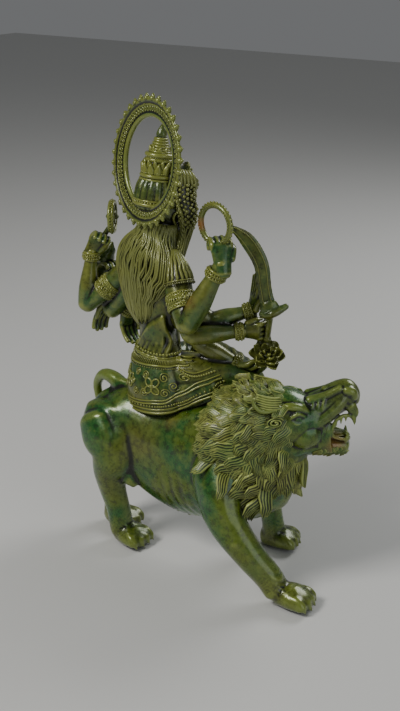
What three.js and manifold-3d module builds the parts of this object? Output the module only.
// A many-armed goddess riding side-saddle on her lion, a hollow-cast bronze statuette.
// It is three castings: the lion, the goddess with all that she holds, and the halo ring
// that stands behind her head. The lion faces +X, the goddess looks towards +Y, +Z is up,
// and the origin is on the ground under the middle of the whole work. Millimetres.
import * as THREE from 'three';
import { mergeVertices } from 'three/addons/utils/BufferGeometryUtils.js';
import Module from 'manifold-3d';

const wasm = await Module();
wasm.setup();

// Driving sizes. The lion's pose is laid out on a lion 300 long and the goddess's on a
// figure 280 tall, so both keep their proportions at any size.
const LION_LENGTH = 300;
const FIGURE_HEIGHT = 280;
const FIGURE_TURN = 22;
const HAND_SIZE = 1.15;
const HALO_WIDTH = 128;
const HALO_BAND = 17;
const HALO_THICKNESS = 3.2;
const HALO_DISH = 5;
const HALO_TILT = 8;
const HALO_LEAVES = 36;
const HALO_LEAF = 4.5;
const CASTING_GAP = 0.5;
const MANE_ROWS = 8;
const MANE_LOCKS_ROUND = 12;
const MANE_RELIEF = 0.085;

const LION_DRAWN_LENGTH = 300;
const FIGURE_DRAWN_HEIGHT = 280;
const WELD = 1e-4;
const RIGHT = -1;
const LEFT = 1;

const Y_AXIS = new THREE.Vector3(0, 1, 0);
const X_AXIS = new THREE.Vector3(1, 0, 0);
const Z_AXIS = new THREE.Vector3(0, 0, 1);

// Each station of a form is its place x, y, z, its half-width and its half-depth. The
// half-width lies along the across direction, the half-depth square to it.
class Form {
  constructor(stations, across = Y_AXIS) {
    this.spans = stations.length - 1;
    this.across = across;
    this.path = new THREE.CatmullRomCurve3(stations.map(([x, y, z]) => new THREE.Vector3(x, y, z)));
    this.girths = new THREE.CatmullRomCurve3(
      stations.map(([, , , wide, deep]) => new THREE.Vector3(wide, deep, 0)));
  }

  // The place on the skin at a share of the length and an angle round it, with the
  // directions that point out of the skin and along the form there.
  skin(share, angle, grow = 0) {
    const centre = this.path.getPoint(share);
    const along = this.path.getTangent(share);
    const girth = this.girths.getPoint(share);
    const side = this.across.clone().addScaledVector(along, -this.across.dot(along)).normalize();
    const over = along.clone().cross(side);
    const out = side.clone().multiplyScalar(Math.cos(angle) * (girth.x + grow))
      .addScaledVector(over, Math.sin(angle) * (girth.y + grow));
    return { centre, along, out, girth, point: centre.clone().add(out) };
  }

  // The closed body of the form: a sphere's grid drawn out along the path, with domed ends.
  // Spread moves its rings along the form, lean turns its points round it, and carve raises
  // or sinks them.
  solid({
    sides = 10, steps = 1, dome = 0.7, domeRows = 1, grow = 0,
    carve = () => 1, spread = (share) => share, lean = (angle) => angle,
  } = {}) {
    const rows = this.spans * steps + 2 * domeRows;
    const grid = new THREE.SphereGeometry(1, sides, rows);
    const place = grid.attributes.position;
    for (let index = 0; index < place.count; index++) {
      const row = Math.floor(index / (sides + 1));
      const turn = Math.PI - (index % (sides + 1)) / sides * 2 * Math.PI;
      const share = spread(THREE.MathUtils.clamp((row - domeRows) / (rows - 2 * domeRows), 0, 1));
      const rowsPast = Math.max(domeRows - row, row - (rows - domeRows), 0);
      const lift = rowsPast / domeRows * Math.PI / 2;
      const end = row < domeRows ? -1 : 1;
      const { centre, along, out, girth } = this.skin(share, lean(turn, share), grow);
      const bulge = Math.sin(lift) * (dome * Math.min(girth.x, girth.y) + grow) * end;
      centre.addScaledVector(along, bulge)
        .addScaledVector(out, Math.cos(lift) * carve(turn, share));
      place.setXYZ(index, centre.x, centre.y, centre.z);
    }
    return solid(grid);
  }
}

function solid(geometry) {
  const bare = geometry.clone();
  bare.deleteAttribute('normal');
  bare.deleteAttribute('uv');
  const welded = mergeVertices(bare, WELD);
  return new wasm.Manifold(new wasm.Mesh({
    numProp: 3,
    vertProperties: new Float32Array(welded.attributes.position.array),
    triVerts: new Uint32Array(welded.index.array),
  }));
}

function join(solids) {
  return solids.reduce((whole, next) => whole.add(next));
}

function geometryOf(body) {
  const mesh = body.getMesh();
  const geometry = new THREE.BufferGeometry();
  geometry.setAttribute('position', new THREE.BufferAttribute(mesh.vertProperties, mesh.numProp));
  geometry.setIndex(new THREE.BufferAttribute(mesh.triVerts, 1));
  geometry.computeVertexNormals();
  return geometry;
}

function limb(stations, options = {}) {
  return new Form(stations, options.across).solid(options);
}

// A turned form, its profile given as radius and height, standing on a place along an axis.
function turned(profile, sides, at, axis = Z_AXIS) {
  const outline = profile.map(([radius, height]) => new THREE.Vector2(radius, height));
  const geometry = new THREE.LatheGeometry(outline, sides);
  geometry.applyQuaternion(new THREE.Quaternion().setFromUnitVectors(Y_AXIS, axis.clone().normalize()));
  geometry.translate(at.x, at.y, at.z);
  return solid(geometry);
}

// The lion.
const lionUnit = LION_LENGTH / LION_DRAWN_LENGTH;
const lionStations = (stations) => stations.map((station) => station.map((value) => value * lionUnit));
const lionPoint = (x, y, z) => new THREE.Vector3(x, y, z).multiplyScalar(lionUnit);

function lionForm(stations, across) {
  return new Form(lionStations(stations), across);
}

const lionTrunk = lionForm([
  [-118, 0, 138, 26, 28],
  [-96, 0, 131, 36, 47],
  [-62, 0, 117, 34, 54],
  [-22, 0, 110, 36, 62],
  [18, 0, 114, 40, 62],
  [46, 0, 122, 42, 62],
  [72, 0, 134, 40, 58],
]);

const rightHindLeg = lionForm([
  [-101, -17, 148, 18, 33],
  [-99, -25, 126, 19, 35],
  [-91, -32, 104, 17, 26],
  [-95, -32, 84, 14, 19],
  [-94, -28, 62, 12, 16],
  [-90, -24, 38, 11, 14],
  [-87, -22, 15, 13, 13],
]);

const leftHindLeg = lionForm([
  [-101, 17, 148, 18, 33],
  [-104, 24, 126, 19, 34],
  [-108, 26, 104, 17, 24],
  [-114, 22, 82, 12, 16],
  [-121, 16, 60, 10, 13],
  [-123, 11, 36, 10, 12],
  [-122, 9, 15, 12, 12],
]);

const rightForeLeg = lionForm([
  [40, -30, 134, 16, 30],
  [49, -42, 108, 18, 27],
  [66, -49, 80, 17, 21],
  [91, -46, 50, 15, 17],
  [110, -39, 28, 14, 15],
  [117, -37, 16, 14, 12],
]);

const leftForeLeg = lionForm([
  [40, 30, 134, 14, 28],
  [45, 42, 104, 14, 20],
  [49, 52, 70, 12, 14],
  [52, 59, 38, 11, 12],
  [54, 62, 16, 12, 12],
]);

// Grooves that part four fingers or toes lie at every second corner of a form.
const DIGIT_SIDES = 12;
const KNUCKLE_SHARE = 0.3;

function digitGrooves(depth) {
  return (angle, share) => {
    const side = Math.round(angle / (2 * Math.PI) * DIGIT_SIDES);
    return share > KNUCKLE_SHARE && side % 2 !== 0 ? 1 - depth : 1;
  };
}

// A paw resting flat on the ground, with four toes towards the front.
function paw([x, y], heading, grow) {
  const ahead = new THREE.Vector3(Math.cos(heading), Math.sin(heading), 0);
  const across = new THREE.Vector3(-ahead.y, ahead.x, 0);
  const station = (along, up, wide, deep) => [x + ahead.x * along, y + ahead.y * along, up, wide, deep];
  return lionForm([
    station(-14, 11, 12, 12), station(0, 11, 16, 13), station(14, 8, 18, 12), station(22, 6, 16, 9),
  ], across).solid({ sides: DIGIT_SIDES, dome: 0.5, grow, carve: digitGrooves(0.16) });
}

const tail = lionForm([
  [-98, 2, 166, 9, 10],
  [-114, 3, 175, 7.5, 8],
  [-130, 5, 175, 6, 6],
  [-142, 9, 160, 5, 5],
  [-141, 13, 136, 5, 5],
  [-137, 17, 112, 6, 6],
  [-139, 20, 92, 9, 10],
  [-144, 22, 76, 3, 3],
]);

// The mane is a heavy collar from the face back to a raised rim behind the shoulders.
const mane = lionForm([
  [101, 5, 168, 32, 38],
  [86, 4, 158, 42, 52],
  [67, 2, 148, 49, 62],
  [45, 1, 140, 50, 65],
  [22, 0, 134, 44, 60],
]);

// The mane's locks lie in staggered rows like shingles. Two rings of the grid make a row:
// the roots, and the tips that stand up just before the next roots.
const maneGrid = { sides: 2 * MANE_LOCKS_ROUND, steps: 2 * MANE_ROWS / mane.spans };
const MANE_TIP_SHARE = 0.8;
const MANE_DROOP = 0.35;

function maneSpread(share) {
  const place = share * MANE_ROWS;
  const row = Math.floor(place + 0.25);
  return Math.min((place - row > 0.25 ? row + MANE_TIP_SHARE : row) / MANE_ROWS, 1);
}

function maneCarve(angle, share) {
  const place = share * MANE_ROWS;
  const row = Math.floor(place + 0.01);
  const column = Math.round(angle / (2 * Math.PI) * maneGrid.sides);
  const onLock = (column + row) % 2 === 0;
  if (place - row > 0.5) return 1 + MANE_RELIEF * (onLock ? 1 : 0.1);
  return 1 + MANE_RELIEF * (onLock ? -0.1 : -0.5);
}

function maneBody(grow) {
  const lean = (angle, share) => angle + MANE_DROOP * share * Math.cos(angle);
  return mane.solid({ ...maneGrid, dome: 0.5, grow, carve: maneCarve, spread: maneSpread, lean });
}

// The head is laid out on its own axes: ahead, left and up from the middle of the skull.
const HEAD_AT = [100, 0, 180];
const HEAD_TURN = THREE.MathUtils.degToRad(35);
const headAhead = new THREE.Vector3(Math.cos(HEAD_TURN), Math.sin(HEAD_TURN), 0);
const headLeft = new THREE.Vector3(-headAhead.y, headAhead.x, 0);

function headStation([ahead, left, up, wide, deep]) {
  return [
    HEAD_AT[0] + headAhead.x * ahead + headLeft.x * left,
    HEAD_AT[1] + headAhead.y * ahead + headLeft.y * left,
    HEAD_AT[2] + up, wide, deep];
}

function headPart(stations, options) {
  return lionForm(stations.map(headStation), headLeft).solid(options);
}

function lionHead(grow) {
  const both = (part) => [RIGHT, LEFT].map(part);
  const skull = headPart([
    [-26, 0, 0, 25, 27], [-4, 0, 2, 28, 31], [14, 0, 2, 27, 27], [30, 0, 4, 21, 20],
  ], { sides: 10, grow });
  const muzzle = headPart([
    [22, 0, 4, 21, 20], [34, 0, 12, 18, 18], [46, 0, 20, 15, 15.5], [56, 0, 25, 13.5, 15],
    [64, 0, 22, 12, 15],
  ], { sides: 10, dome: 0.4, grow });
  const nose = headPart([
    [50, 0, 34, 8, 6], [60, 0, 35, 10, 6.5], [66, 0, 24, 9, 7],
  ], { sides: 7, grow });
  const jaw = headPart([
    [18, 0, -21, 22, 15], [36, 0, -24, 17, 11.5], [50, 0, -25, 13.5, 9], [61, 0, -25.5, 11.5, 8.5],
  ], { sides: 10, dome: 0.5, grow });
  const mouth = headPart([
    [46, 0, -4, 40, 4], [54, 0, -4, 40, 9], [66, 0, -5, 40, 10.5], [88, 0, -5, 40, 10.5],
  ], { sides: 8, dome: 0.4, grow: -grow });
  const tongue = headPart([
    [30, 0, -12, 9, 4], [46, 0, -16, 9, 4], [57, 0, -16.5, 7, 3],
  ], { sides: 6, grow });
  const brows = both((side) => headPart([
    [2, side * 19, 20, 7, 6], [14, side * 19, 18, 7, 6], [24, side * 15, 12, 5, 4],
  ], { sides: 6, grow }));
  const eyes = both((side) => headPart([
    [10, side * 23, 10, 4, 5], [17, side * 21, 9, 4, 5],
  ], { sides: 6, grow }));
  const ears = both((side) => headPart([
    [-4, side * 19, 16, 8, 7], [-16, side * 22, 20, 8, 8], [-27, side * 27, 26, 5, 6.5],
    [-36, side * 29, 32, 2, 3],
  ], { sides: 6, grow }));
  const fang = (ahead, left, root, tip, radius) => headPart([
    [ahead, left, root, radius, radius], [ahead + 1, left, tip, radius * 0.3, radius * 0.3],
  ], { sides: 4, grow });
  const fangs = both((side) => join([
    fang(63, side * 7.5, 18, -1, 3), fang(59, side * 8, -21, -10, 2.6),
  ]));
  const upper = join([skull, muzzle, nose, jaw, ...brows, ...eyes]).subtract(mouth);
  return join([upper, tongue, ...ears, ...fangs]);
}

const GROUND_DEPTH = 40;
const ground = solid(new THREE.BoxGeometry(4 * LION_LENGTH, 4 * LION_LENGTH, GROUND_DEPTH)
  .translate(0, 0, -GROUND_DEPTH / 2));

function lionBody(grow = 0) {
  const parts = [
    lionTrunk.solid({ sides: 12, grow }),
    maneBody(grow),
    rightHindLeg.solid({ sides: 8, grow }),
    leftHindLeg.solid({ sides: 8, grow }),
    rightForeLeg.solid({ sides: 8, grow }),
    leftForeLeg.solid({ sides: 8, grow }),
    paw([-78, -21], -0.05, grow),
    paw([-113, 8], 0, grow),
    paw([132, -33], 0.15, grow),
    paw([57, 65], 0.3, grow),
    tail.solid({ sides: 6, grow }),
    lionHead(grow),
  ];
  return join(parts).subtract(ground);
}

// The goddess is laid out on her own axes: x to her right, y to her front, z up from the
// place on the lion's back where she sits.
const figureUnit = FIGURE_HEIGHT / FIGURE_DRAWN_HEIGHT;
const figureStations = (stations) => stations.map((station) => station.map((value) => value * figureUnit));

function body(stations, options = {}) {
  return limb(figureStations(stations), options);
}

const seat = lionPoint(-54, 0, 172);

// A hand from the wrist: fingers run along reach, the palm looks along palm, and curl goes
// from 0, held open, to 1, a fist. The fingers of an open hand lie together, parted by grooves.
function hand(wrist, reach, palm, curl, thumbSide) {
  const ahead = new THREE.Vector3(...reach).normalize();
  const facing = new THREE.Vector3(...palm);
  facing.addScaledVector(ahead, -facing.dot(ahead)).normalize();
  const across = ahead.clone().cross(facing).multiplyScalar(thumbSide);
  const station = (along, sideways, towards, wide, deep) => {
    const at = new THREE.Vector3(...wrist).addScaledVector(ahead, along * HAND_SIZE)
      .addScaledVector(across, sideways * HAND_SIZE).addScaledVector(facing, towards * HAND_SIZE);
    return [at.x, at.y, at.z, wide * HAND_SIZE, deep * HAND_SIZE];
  };
  const stations = [station(-2, 0, 0, 6.4, 5.4), station(14, 0, 0.5, 9.4, 4.8)];
  let turn = 0;
  let along = 14;
  let towards = 0.5;
  for (const knuckle of [10, 9]) {
    turn += curl * 1.5;
    along += Math.cos(turn) * knuckle;
    towards += Math.sin(turn) * knuckle;
    stations.push(station(along, 0, towards, 8.8 - 0.1 * knuckle, 3.2));
  }
  const open = curl < 0.5;
  const palmAndFingers = body(stations, open
    ? { sides: DIGIT_SIDES, across, carve: digitGrooves(0.2) }
    : { sides: 6, across });
  const thumb = body([
    station(5, 7, 1, 3.6, 3.6), station(18 - 4 * curl, 10 - 4 * curl, 5 + 6 * curl, 2.6, 2.6),
  ], { sides: 4, across });
  return join([palmAndFingers, thumb]);
}

// An arm from the shoulder over the elbow to the wrist. A bracelet stands up from it at a
// share of the forearm, as an armlet does from the upper arms that show. Where the bracelet
// sits high, the bare wrist goes on past it.
const BRACELET_SHARE = 0.8;

function arm(shoulder, elbow, wrist, { girth = 1, armlet = false, bracelet = BRACELET_SHARE } = {}) {
  const between = (from, to, share, radius) =>
    [...from.map((value, index) => value + (to[index] - value) * share), radius * girth, radius * girth];
  const upper = body([
    between(shoulder, elbow, 0, 13), between(shoulder, elbow, 0.5, 11.5), between(shoulder, elbow, 1, 9.5),
  ], { sides: 6 });
  const toBracelet = [
    between(elbow, wrist, 0, 9.5), between(elbow, wrist, 0.35, 11),
    between(elbow, wrist, bracelet - 0.04, 8), between(elbow, wrist, bracelet, 9.8),
    between(elbow, wrist, bracelet + 0.18, 9.4),
  ];
  const bareWrist = bracelet < BRACELET_SHARE ? [between(elbow, wrist, 1, 7)] : [];
  const fore = body([...toBracelet, ...bareWrist], { sides: 6, dome: 0.5 });
  if (!armlet) return join([upper, fore]);
  const band = body([between(shoulder, elbow, 0.48, 13.5), between(shoulder, elbow, 0.64, 13.5)],
    { sides: 6, dome: 0.2 });
  return join([upper, fore, band]);
}

const SHOULDER = { right: [33, 3, 134], left: [-36, -6, 130] };
const SWORD_SHOULDER = [31, 4, 116];
const OPEN_SHOULDER = [28, 12, 112];
const LOTUS_SHOULDER = [26, 8, 96];
const CONCH_SHOULDER = [-31, -4, 114];
const HANGING_SHOULDER = [-28, -4, 104];
const RESTING_SHOULDER = [-26, 4, 100];

// Right hands: a beaded hoop, a curved sword, the open hand of blessing and a lotus.
function rightArms() {
  const hoopWrist = [88, 21, 158];
  const swordWrist = [79, 54, 81];
  const openWrist = [72, 68, 98];
  const lotusWrist = [64, 59, 40];
  return join([
    arm(SHOULDER.right, [64, -4, 92], hoopWrist, { girth: 1.2, armlet: true, bracelet: 0.72 }),
    hand(hoopWrist, [-0.3, 0.1, 1], [-1, 0.4, 0], 0.8, -1),
    arm(SWORD_SHOULDER, [52, 8, 76], swordWrist),
    hand(swordWrist, [0.7, 0.75, 0], [-0.7, 0.7, 0.1], 0.75, 1),
    arm(OPEN_SHOULDER, [50, 32, 86], openWrist),
    hand(openWrist, [0.02, 0.12, 1], [0.3, 1, 0], 0, -1),
    arm(LOTUS_SHOULDER, [42, 28, 60], lotusWrist),
    hand(lotusWrist, [0.8, 0.6, -0.1], [0.1, 0.3, 1], 0.55, 1),
    hoop(), sword(), lotus(),
  ]);
}

// The hoop stands upright over her raised hand, its wire swept round a ring.
const HOOP_MIDDLE = [74, 22, 192];
const HOOP_RADIUS = 18.5;
const HOOP_WIRE = 4.2;
const HOOP_TURN = THREE.MathUtils.degToRad(14);

function hoop() {
  const middle = new THREE.Vector3(...HOOP_MIDDLE).multiplyScalar(figureUnit);
  const ring = new THREE.TorusGeometry(HOOP_RADIUS * figureUnit, HOOP_WIRE * figureUnit, 4, 16);
  ring.rotateX(Math.PI / 2).rotateZ(HOOP_TURN).translate(middle.x, middle.y, middle.z);
  return solid(ring);
}

function sword() {
  const grip = body([[92, 73, 80, 3.6, 3.6], [97, 72, 99, 3.6, 3.6]], { sides: 6 });
  const guard = body([
    [93, 65, 101, 3.4, 3.4], [99, 73, 103, 7, 6], [107, 84, 110, 3.4, 3.4],
  ], { sides: 6, across: Z_AXIS });
  const blade = body([
    [98, 71, 104, 3, 7],
    [93, 67, 128, 3, 7],
    [90, 64, 152, 2.8, 7.5],
    [81, 54, 174, 2.4, 7.5],
    [71, 40, 188, 1, 2],
  ], { sides: 6, across: new THREE.Vector3(-0.8, 0.55, 0), dome: 0.6 });
  return join([grip, guard, blade]);
}

// An open lotus on a short stalk, its face turned outward: a cup of petals round a bud.
function lotus() {
  const petals = (count, spread) => (angle, share) => 1 + spread * share * Math.cos(angle * count);
  const stalk = body([[80, 71, 34, 4.5, 4.5], [88, 72, 44, 5, 5], [94, 71, 53, 7, 7]], { sides: 7 });
  const bloom = body([
    [90, 72, 50, 8, 8], [95, 70, 56, 15, 15], [99, 68, 62, 17, 17],
  ], { sides: 14, across: Y_AXIS, dome: 0, carve: petals(7, 0.1) });
  const bud = body([
    [97, 69, 59, 11, 11], [102, 67, 66, 8, 8],
  ], { sides: 8, across: Y_AXIS, carve: petals(4, 0.14) });
  return join([stalk, bloom, bud]);
}

// Left hands: an upright wheel, a conch, one hanging open and one laid on her side.
function leftArms() {
  const wheelWrist = [-69, -35, 143];
  const conchWrist = [-80, -18, 104];
  const hangingWrist = [-66, -16, 86];
  const restingWrist = [-54, -4, 76];
  return join([
    arm(SHOULDER.left, [-72, -42, 84], wheelWrist, { armlet: true }),
    hand(wheelWrist, [0.35, 0.45, 1], [1, -0.4, 0], 0.6, 1),
    body([[-59, -27, 158, 3.4, 3.4], [-52, -21, 172, 3, 3]], { sides: 5 }),
    wheel(),
    arm(CONCH_SHOULDER, [-62, -18, 76], conchWrist),
    hand(conchWrist, [0, 0.1, 1], [1, 0.2, 0], 0.6, 1),
    conch(),
    arm(HANGING_SHOULDER, [-50, -10, 98], hangingWrist),
    hand(hangingWrist, [-0.7, -0.3, -1], [1, 0, -0.4], 0.2, 1),
    arm(RESTING_SHOULDER, [-45, 2, 90], restingWrist),
    hand(restingWrist, [-0.1, 0.1, -1], [1, 0, 0], 0.3, -1),
  ]);
}

// The wheel stands on its finger by the rim, turned on a lathe with a raised hub and rim.
const WHEEL_MIDDLE = [-51, -20, 180];
const WHEEL_AXIS = [0.6, 0.8, 0];

function wheel() {
  const middle = new THREE.Vector3(...WHEEL_MIDDLE).multiplyScalar(figureUnit);
  const profile = [
    [0, -4.5], [5, -4.5], [7, -1.8], [17, -3], [17, 3], [7, 1.8], [5, 4.5], [0, 4.5],
  ].map(([radius, height]) => [radius * figureUnit, height * figureUnit]);
  return turned(profile, 10, middle, new THREE.Vector3(...WHEEL_AXIS));
}

function conch() {
  return body([
    [-82, -18, 112, 2, 2], [-81, -17, 120, 8, 8], [-78, -15, 130, 10, 10], [-74, -12, 138, 7, 7],
    [-71, -10, 147, 1.6, 1.6],
  ], { sides: 7, across: X_AXIS });
}

// Trunk, hips, lap and legs. Her right leg is folded with the foot on her left thigh, and
// her left leg hangs down the lion's far side.
function trunkAndLegs() {
  const torso = body([
    [2, 2, 36, 30, 21],
    [2, 0, 64, 25, 17],
    [0, 0, 88, 28, 18],
    [-1, 1, 112, 34, 20],
    [-1, 1, 130, 38, 18],
    [-1, 4, 144, 22, 14],
    [0, 9, 158, 12, 12],
    [0, 12, 172, 11, 12],
  ], { sides: 8, across: X_AXIS });
  const breasts = [-15, 14].map((x) => body([[x, 12, 112, 10, 10], [x, 22, 110, 8, 8]],
    { sides: 6, across: X_AXIS, dome: 0.7 }));
  const hips = body([
    [2, 1, 52, 27, 19], [2, 0, 32, 35, 26], [4, 0, 12, 39, 31], [6, 1, -4, 37, 29],
  ], { sides: 12, across: X_AXIS, dome: 0.4 });
  const skirtFall = body([
    [6, -2, 6, 20, 27], [32, 10, 12, 18, 24], [56, 32, 20, 14, 18],
  ], { sides: 8, across: Z_AXIS });
  const rightThigh = body([
    [6, 4, 23, 26, 26], [32, 22, 27, 23, 22], [54, 46, 28, 19, 19], [72, 68, 22, 16, 16],
  ], { sides: 8, across: Z_AXIS });
  const rightShin = body([
    [72, 69, 21, 15, 15], [46, 70, 32, 12, 12], [20, 66, 40, 9, 9], [0, 64, 42, 8, 8],
  ], { sides: 7, across: Z_AXIS });
  const rightFoot = body([
    [4, 62, 42, 8, 7], [-10, 64, 42, 9, 7], [-25, 66, 42, 9, 5], [-35, 67, 42, 7, 4],
  ], { sides: 6, across: Z_AXIS });
  const leftThigh = body([
    [-12, 4, 22, 22, 22], [-20, 32, 26, 19, 18], [-24, 54, 22, 17, 17],
  ], { sides: 8, across: X_AXIS });
  const leftShin = body([
    [-24, 56, 18, 16, 16], [-25, 63, -10, 13, 14], [-25, 63, -40, 10, 10], [-25, 61, -60, 8, 8],
  ], { sides: 7, across: X_AXIS });
  const leftFoot = body([
    [-25, 57, -66, 8, 8], [-25, 68, -74, 9, 7], [-26, 82, -82, 9, 5], [-26, 91, -86, 7, 4],
  ], { sides: 6, across: X_AXIS });
  const rightLeg = join([rightThigh, rightShin, rightFoot]);
  const leftLeg = join([leftThigh, leftShin, leftFoot]);
  return join([torso, ...breasts, hips, skirtFall, rightLeg, leftLeg]);
}

// Head, crown and hair. The tiered crown stands on the head, tilted as the halo is.
const CROWN_FOOT = [0, -1, 200];

function headAndHair() {
  const head = body([
    [0, 14, 166, 9, 10], [0, 16, 178, 17, 19], [0, 15, 194, 20, 21], [0, 11, 208, 18, 20],
  ], { sides: 8, across: X_AXIS });
  const nose = body([[0, 35, 196, 2.5, 2], [0, 38, 187, 4, 3]], { sides: 5, across: X_AXIS });
  const crownProfile = [
    [0, 0], [17, 0], [19, 8], [18.5, 18], [14.5, 28], [15, 31], [13, 42], [10.5, 45], [12, 49],
    [8, 57], [5.5, 70], [0, 78],
  ].map(([radius, height]) => [radius * figureUnit, height * figureUnit]);
  const tilt = THREE.MathUtils.degToRad(HALO_TILT);
  const crown = turned(crownProfile, 9, new THREE.Vector3(...CROWN_FOOT).multiplyScalar(figureUnit),
    new THREE.Vector3(0, Math.sin(tilt), Math.cos(tilt)));
  const diadem = body([
    [0, 6, 204, 22, 8], [0, 20, 212, 24, 10], [0, 36, 224, 16, 10], [0, 41, 232, 8, 6],
  ], { sides: 8, across: X_AXIS });
  const sideHair = [-1, 1].map((side) => body([
    [side * 20, 20, 208, 7, 9], [side * 24, 23, 192, 7, 9], [side * 25, 20, 174, 5, 6],
    [side * 26, 12, 154, 5, 5], [side * 28, 5, 140, 5, 5],
  ], { sides: 6, across: X_AXIS }));
  const back = body([
    [0, 4, 184, 22, 16], [-1, 1, 168, 26, 18], [-3, -5, 150, 42, 21], [-6, -9, 130, 44, 20],
    [-6, -12, 106, 27, 15], [-2, -13, 90, 15, 11], [1, -13, 78, 6, 7],
  ], { sides: 14, across: X_AXIS, carve: (angle) => 1 + 0.045 * Math.cos(angle * 7) });
  const shoulderKnot = body([
    [30, -4, 152, 7, 8], [38, 2, 142, 11, 11], [42, 6, 130, 9, 9],
  ], { sides: 8, across: Y_AXIS });
  return join([head, nose, crown, diadem, ...sideHair, back, shoulderKnot]);
}

function goddessBody(lionWithRoom, haloWithRoom) {
  return join([trunkAndLegs(), headAndHair(), rightArms(), leftArms()])
    .subtract(lionWithRoom).subtract(haloWithRoom);
}

// The halo: a dished band with a leafy outer edge and a plain inner lip, leaning forward.
const haloMiddle = new THREE.Vector3(0, -8, 243).multiplyScalar(figureUnit);

function haloBody(grow = 0) {
  const outer = HALO_WIDTH / 2 + grow;
  const inner = HALO_WIDTH / 2 - HALO_LEAF - HALO_BAND - grow;
  const half = HALO_THICKNESS / 2 + grow;
  const band = new THREE.TorusGeometry(outer, half, 5, 2 * HALO_LEAVES);
  const place = band.attributes.position;
  for (let index = 0; index < place.count; index++) {
    const ring = Math.floor(index / (2 * HALO_LEAVES + 1));
    const turn = (index % (2 * HALO_LEAVES + 1)) / (2 * HALO_LEAVES) * 2 * Math.PI;
    const onLeaf = index % (2 * HALO_LEAVES + 1) % 2 === 1;
    const edge = onLeaf ? outer : outer - HALO_LEAF;
    const [radius, height] = [
      [edge, 0], [edge - HALO_LEAF / 2, half], [inner, half], [inner, -half], [edge - HALO_LEAF / 2, -half],
    ][ring % 5];
    const dish = HALO_DISH * ((radius - inner) / (outer - inner) - 0.5);
    place.setXYZ(index, radius * Math.cos(turn), radius * Math.sin(turn), height - dish);
  }
  band.rotateX(Math.PI / 2);
  return solid(band);
}

// The halo's ring put in its place behind the head, in the goddess's axes.
function placedHalo(grow) {
  const ring = geometryOf(haloBody(grow));
  ring.rotateX(-THREE.MathUtils.degToRad(HALO_TILT));
  ring.translate(haloMiddle.x, haloMiddle.y, haloMiddle.z);
  return solid(ring);
}

const group = new THREE.Group();
const figure = new THREE.Group();
figure.position.copy(seat);
figure.rotation.z = -THREE.MathUtils.degToRad(FIGURE_TURN);
figure.updateMatrix();

const lionRoom = geometryOf(lionBody(CASTING_GAP));
lionRoom.applyMatrix4(figure.matrix.clone().invert());

function casting(name, form, colour, roughness) {
  const material = new THREE.MeshStandardMaterial({
    color: colour, roughness, metalness: 0.6, flatShading: true,
  });
  const mesh = new THREE.Mesh(geometryOf(form), material);
  mesh.name = name;
  return mesh;
}

figure.add(
  casting('goddess', goddessBody(solid(lionRoom), placedHalo(CASTING_GAP)), 0x74783f, 0.4),
  casting('halo', placedHalo(0), 0x8a7d3c, 0.4),
);
group.add(casting('lion', lionBody(), 0x4f7a4a, 0.35), figure);

// The origin goes under the middle of the whole work.
const bounds = new THREE.Box3().setFromObject(group, true);
const middle = bounds.getCenter(new THREE.Vector3());
group.position.set(-middle.x, -middle.y, 0);

export default group;
